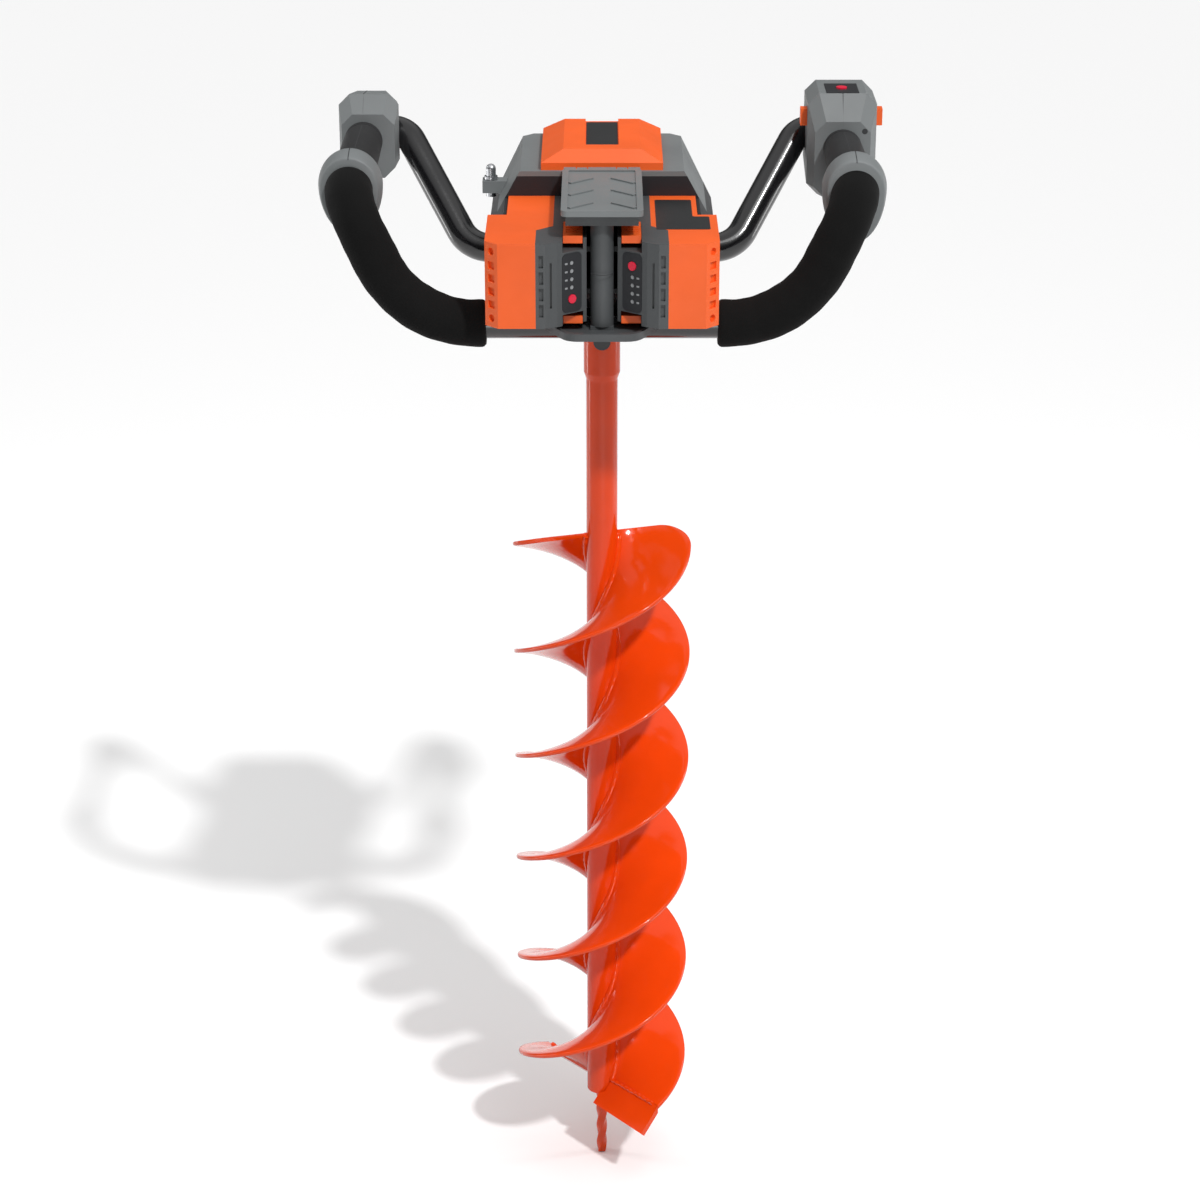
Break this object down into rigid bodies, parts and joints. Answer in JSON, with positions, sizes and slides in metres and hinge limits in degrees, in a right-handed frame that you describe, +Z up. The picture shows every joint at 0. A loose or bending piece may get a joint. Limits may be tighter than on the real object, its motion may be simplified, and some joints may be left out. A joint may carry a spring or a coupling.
{
  "type": "battery earth auger",
  "caption": "Two-handed battery earth auger: twin-start screw bit under a geared power head with slide-on packs, hinged lid and a bent tube frame with grips.",
  "frame": {"origin": "tip of the pilot point, on the axis that the bit turns about", "axes": "+Z up along the bit to the power head, -Y towards the person holding the grips (the side the packs slide out), +X to that person's right"},
  "size_m": [0.4575, 0.3045, 0.9595],
  "materials": {
    "orange_plastic": "fine-grained orange moulded plastic",
    "grey_plastic": "fine-grained mid-grey moulded plastic",
    "slate_plastic": "fine-grained slate-grey moulded plastic",
    "dark_plastic": "fine-grained charcoal moulded plastic",
    "orange_paint": "glossy orange powder coat on steel",
    "black_paint": "glossy black enamel on steel tube",
    "foam": "closed-cell foam sleeve",
    "grip_rubber": "soft moulded rubber",
    "red_button": "satin red plastic",
    "steel": "machined steel",
    "black_steel": "black oxide steel",
    "aluminium": "die-cast aluminium",
    "brass": "plated spring brass",
    "board": "potted circuit board",
    "cells": "sleeved steel cans"
  },
  "bodies": {
    "powerhead": {"lower_housing": "dark_plastic", "upper_housing": "grey_plastic", "top_cover": "orange_plastic", "battery_dock": "slate_plastic", "dock_tray": "grey_plastic", "dock_contacts": "brass", "gear_case": "aluminium", "gear_case_cover": "aluminium", "output_bearing": "steel", "shaft_seal": "grip_rubber", "motor_stator": "steel", "motor_end_plate": "aluminium", "motor_bearings": "steel", "controller_board": "board", "left_handle_tube": "black_paint", "right_handle_tube": "black_paint", "tube_saddle": "aluminium", "rear_tube_clamps": "aluminium", "left_foam": "foam", "right_foam": "foam", "left_grip": "grip_rubber", "right_grip": "grip_rubber", "left_collar": "grey_plastic", "right_collar": "grey_plastic", "left_end_housing": "grey_plastic", "right_switch_housing": "grey_plastic", "control_panel": "dark_plastic", "trigger_switch": "dark_plastic", "case_screws": "black_steel", "lid_pin": "steel"},
    "lid": {"battery_lid": "grey_plastic"},
    "power_button": {"power_button": "red_button"},
    "trigger": {"trigger": "dark_plastic"},
    "selector": {"selector_bar": "orange_plastic"},
    "spare_pin": {"spare_pin": "steel"},
    "auger": {"bit_shaft": "orange_paint", "flight_a": "orange_paint", "flight_b": "orange_paint", "cutting_blades": "orange_paint", "pilot_point": "orange_paint", "cross_bolt": "black_steel", "output_shaft": "steel", "output_gear": "steel"},
    "layshaft": {"layshaft": "steel"},
    "rotor": {"motor_rotor": "steel", "cooling_fan": "dark_plastic"},
    "left_pack": {"left_pack_case": "orange_plastic", "left_pack_shell": "grey_plastic", "left_pack_gauge": "dark_plastic", "left_pack_cells": "cells"},
    "left_pack_button": {"left_pack_button": "red_button"},
    "left_upper_latch": {"left_upper_latch": "orange_plastic"},
    "left_lower_latch": {"left_lower_latch": "orange_plastic"},
    "right_pack": {"right_pack_case": "orange_plastic", "right_pack_shell": "grey_plastic", "right_pack_gauge": "dark_plastic", "right_pack_cells": "cells"},
    "right_pack_button": {"right_pack_button": "red_button"},
    "right_upper_latch": {"right_upper_latch": "orange_plastic"},
    "right_lower_latch": {"right_lower_latch": "orange_plastic"}
  },
  "joints": [
    {"name": "auger_spin", "type": "hinge", "parent": "powerhead", "child": "auger", "pos_m": [0, 0, 0.4], "axis": [0, 0, 1], "continuous": true},
    {"name": "layshaft_spin", "type": "hinge", "parent": "powerhead", "child": "layshaft", "pos_m": [0, 0.045, 0.803], "axis": [0, 0, 1], "continuous": true},
    {"name": "rotor_spin", "type": "hinge", "parent": "powerhead", "child": "rotor", "pos_m": [0, 0.084, 0.803], "axis": [0, 0, 1], "continuous": true},
    {"name": "lid_hinge", "type": "hinge", "parent": "powerhead", "child": "lid", "pos_m": [0, -0.002, 0.9179], "axis": [-1, 0, 0], "range_deg": [0, 95]},
    {"name": "trigger_pull", "type": "hinge", "parent": "powerhead", "child": "trigger", "pos_m": [0.199, 0.098, 0.886], "axis": [-1, 0, 0], "range_deg": [0, 5], "stiffness_Nm_per_rad": 2},
    {"name": "selector_push", "type": "slide", "parent": "powerhead", "child": "selector", "axis": [1, 0, 0], "range_m": [-0.003, 0.003]},
    {"name": "power_press", "type": "slide", "parent": "powerhead", "child": "power_button", "axis": [0, 0, -1], "range_m": [0, 0.0012], "stiffness_N_per_m": 1500},
    {"name": "spare_pin_lift", "type": "slide", "parent": "powerhead", "child": "spare_pin", "axis": [0, 0, 1], "range_m": [0, 0.04]},
    {"name": "left_pack_slide", "type": "slide", "parent": "powerhead", "child": "left_pack", "axis": [0, -1, 0], "range_m": [0, 0.15]},
    {"name": "left_gauge_press", "type": "slide", "parent": "left_pack", "child": "left_pack_button", "axis": [-0.5795, 0.815, 0], "range_m": [0, 0.0008], "stiffness_N_per_m": 1500},
    {"name": "left_upper_latch_press", "type": "slide", "parent": "left_pack", "child": "left_upper_latch", "axis": [0, 0, -1], "range_m": [0, 0.004], "stiffness_N_per_m": 1500},
    {"name": "left_lower_latch_press", "type": "slide", "parent": "left_pack", "child": "left_lower_latch", "axis": [0, 0, 1], "range_m": [0, 0.004], "stiffness_N_per_m": 1500},
    {"name": "right_pack_slide", "type": "slide", "parent": "powerhead", "child": "right_pack", "axis": [0, -1, 0], "range_m": [0, 0.15]},
    {"name": "right_gauge_press", "type": "slide", "parent": "right_pack", "child": "right_pack_button", "axis": [0.5795, 0.815, 0], "range_m": [0, 0.0008], "stiffness_N_per_m": 1500},
    {"name": "right_upper_latch_press", "type": "slide", "parent": "right_pack", "child": "right_upper_latch", "axis": [0, 0, -1], "range_m": [0, 0.004], "stiffness_N_per_m": 1500},
    {"name": "right_lower_latch_press", "type": "slide", "parent": "right_pack", "child": "right_lower_latch", "axis": [0, 0, 1], "range_m": [0, 0.004], "stiffness_N_per_m": 1500}
  ],
  "couplings": [
    {"joint": "layshaft_spin", "follows": "auger_spin", "ratio": -4},
    {"joint": "rotor_spin", "follows": "auger_spin", "ratio": 13.333}
  ]
}
